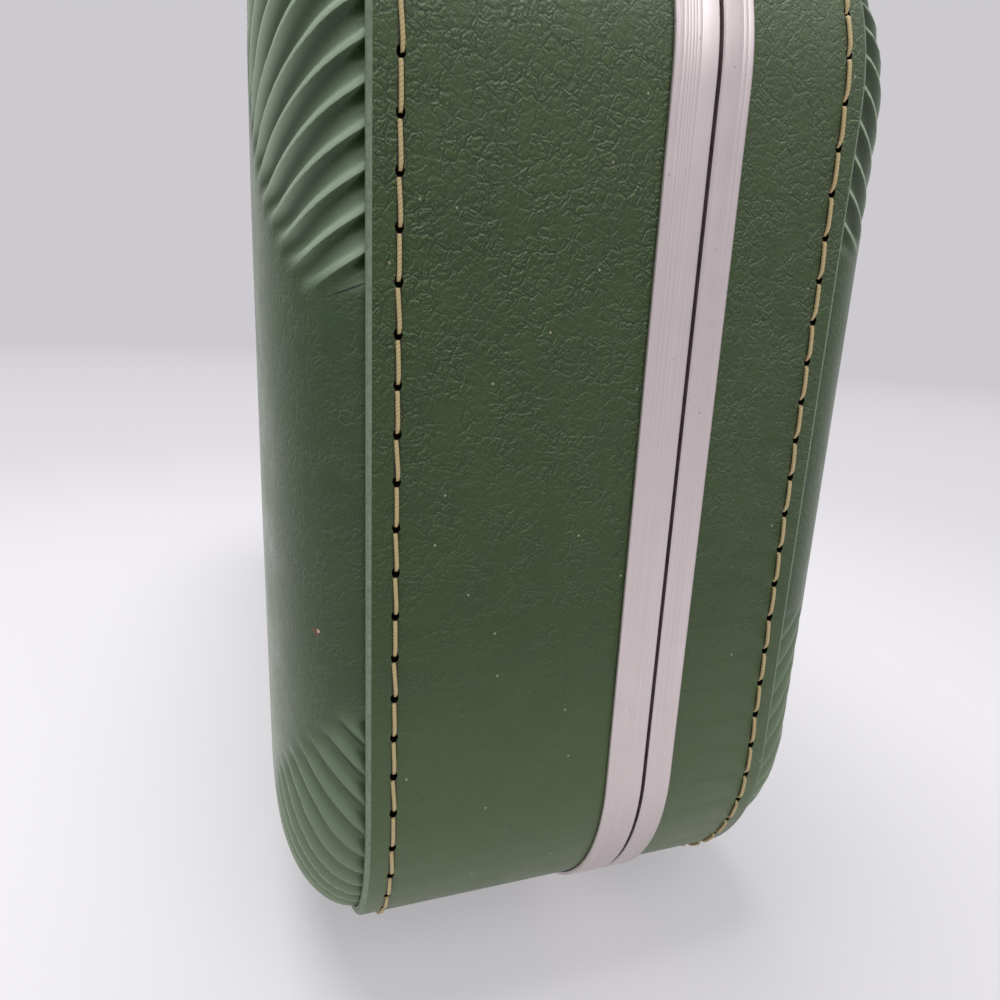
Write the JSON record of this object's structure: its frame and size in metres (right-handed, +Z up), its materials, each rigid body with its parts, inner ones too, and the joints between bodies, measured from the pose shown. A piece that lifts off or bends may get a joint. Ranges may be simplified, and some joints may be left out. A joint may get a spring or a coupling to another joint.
{
  "type": "suitcase",
  "caption": "Hard-shell suitcase with domed ribbed-corner panels, sewn bands, metal closure rails, a hinged lid, spring latches and a folding handle.",
  "frame": {"origin": "on the floor under the middle of the case, standing on the feet of its hinge side", "axes": "+X along the case's length, +Y towards the deep half (the body), +Z up from the hinges to the handle"},
  "size_m": [0.4226, 0.1586, 0.31],
  "materials": {
    "panel_vinyl": "green vinyl leathercloth with a fine grain and a soft gloss, over moulded fibreboard",
    "band_vinyl": "green vinyl with a pebbled leather grain, satin",
    "rail_aluminium": "satin drawn aluminium with fine lengthwise grooves and small scuffs",
    "linen_thread": "tan two-ply linen thread",
    "plywood": "bare bent plywood",
    "lining_cloth": "woven rayon lining glued to thin card",
    "pocket_cloth": "gathered woven rayon",
    "elastic_tape": "woven elastic tape",
    "strap_web": "woven cotton webbing",
    "nickel_plate": "nickel-plated pressed steel, lightly worn",
    "steel_pin": "plain steel wire",
    "brass_lock": "turned brass",
    "spring_steel": "dark spring wire",
    "grip_vinyl": "green vinyl sewn over a stiff core",
    "foot_nickel": "nickel-plated turned stud"
  },
  "bodies": {
    "body_half": {"body_panel": "panel_vinyl", "body_band": "band_vinyl", "body_frame": "plywood", "body_rail": "rail_aluminium", "body_seam_thread": "linen_thread", "body_lining": "lining_cloth", "packing_strap_left": "strap_web", "packing_strap_right": "strap_web", "packing_buckle_left": "nickel_plate", "packing_buckle_right": "nickel_plate", "packing_anchor_left_lower": "nickel_plate", "packing_anchor_left_upper": "nickel_plate", "packing_anchor_right_lower": "nickel_plate", "packing_anchor_right_upper": "nickel_plate", "hinge_left_body_leaf": "nickel_plate", "hinge_left_pin": "steel_pin", "hinge_right_body_leaf": "nickel_plate", "hinge_right_pin": "steel_pin", "latch_left_plate": "nickel_plate", "latch_left_case": "nickel_plate", "latch_left_spring": "spring_steel", "latch_right_plate": "nickel_plate", "latch_right_case": "nickel_plate", "latch_right_spring": "spring_steel", "handle_bracket_left": "nickel_plate", "handle_bracket_right": "nickel_plate", "handle_pin_left": "steel_pin", "handle_pin_right": "steel_pin", "foot_body_left": "foot_nickel", "foot_body_right": "foot_nickel"},
    "lid": {"lid_panel": "panel_vinyl", "lid_band": "band_vinyl", "lid_frame": "plywood", "lid_rail": "rail_aluminium", "lid_seam_thread": "linen_thread", "lid_lining": "lining_cloth", "lid_pocket": "pocket_cloth", "lid_pocket_elastic": "elastic_tape", "hinge_left_lid_leaf": "nickel_plate", "hinge_right_lid_leaf": "nickel_plate", "latch_left_lid_plate": "nickel_plate", "latch_left_hasp_pin": "steel_pin", "latch_right_lid_plate": "nickel_plate", "latch_right_hasp_pin": "steel_pin", "foot_lid_left": "foot_nickel", "foot_lid_right": "foot_nickel"},
    "left_latch_slide": {"latch_left_slide": "nickel_plate"},
    "right_latch_slide": {"latch_right_slide": "nickel_plate"},
    "left_hasp": {"latch_left_hasp": "nickel_plate"},
    "right_hasp": {"latch_right_hasp": "nickel_plate"},
    "left_key_cylinder": {"latch_left_key_cylinder": "brass_lock"},
    "right_key_cylinder": {"latch_right_key_cylinder": "brass_lock"},
    "handle": {"handle_grip": "grip_vinyl", "handle_eye_left": "nickel_plate", "handle_eye_right": "nickel_plate"}
  },
  "joints": [
    {"name": "lid_hinge", "type": "hinge", "parent": "body_half", "child": "lid", "pos_m": [0, -0.01515, 0.0035], "axis": [1, 0, 0], "range_deg": [0, 100]},
    {"name": "left_latch_travel", "type": "slide", "parent": "body_half", "child": "left_latch_slide", "axis": [-1, 0, 0], "range_m": [0, 0.007], "stiffness_N_per_m": 300, "springref_m": -0.004},
    {"name": "right_latch_travel", "type": "slide", "parent": "body_half", "child": "right_latch_slide", "axis": [1, 0, 0], "range_m": [0, 0.007], "stiffness_N_per_m": 300, "springref_m": -0.004},
    {"name": "left_hasp_hinge", "type": "hinge", "parent": "lid", "child": "left_hasp", "pos_m": [-0.1193, -0.02915, 0.2998], "axis": [1, 0, 0], "range_deg": [0, 110]},
    {"name": "right_hasp_hinge", "type": "hinge", "parent": "lid", "child": "right_hasp", "pos_m": [0.1193, -0.02915, 0.2998], "axis": [1, 0, 0], "range_deg": [0, 110]},
    {"name": "left_key_turn", "type": "hinge", "parent": "body_half", "child": "left_key_cylinder", "pos_m": [-0.145, 0.00335, 0.2979], "axis": [0, 0, 1], "range_deg": [0, 90]},
    {"name": "right_key_turn", "type": "hinge", "parent": "body_half", "child": "right_key_cylinder", "pos_m": [0.145, 0.00335, 0.2979], "axis": [0, 0, 1], "range_deg": [0, 90]},
    {"name": "handle_swing", "type": "hinge", "parent": "body_half", "child": "handle", "pos_m": [0, 0.00185, 0.303], "axis": [1, 0, 0], "range_deg": [0, 175]}
  ]
}
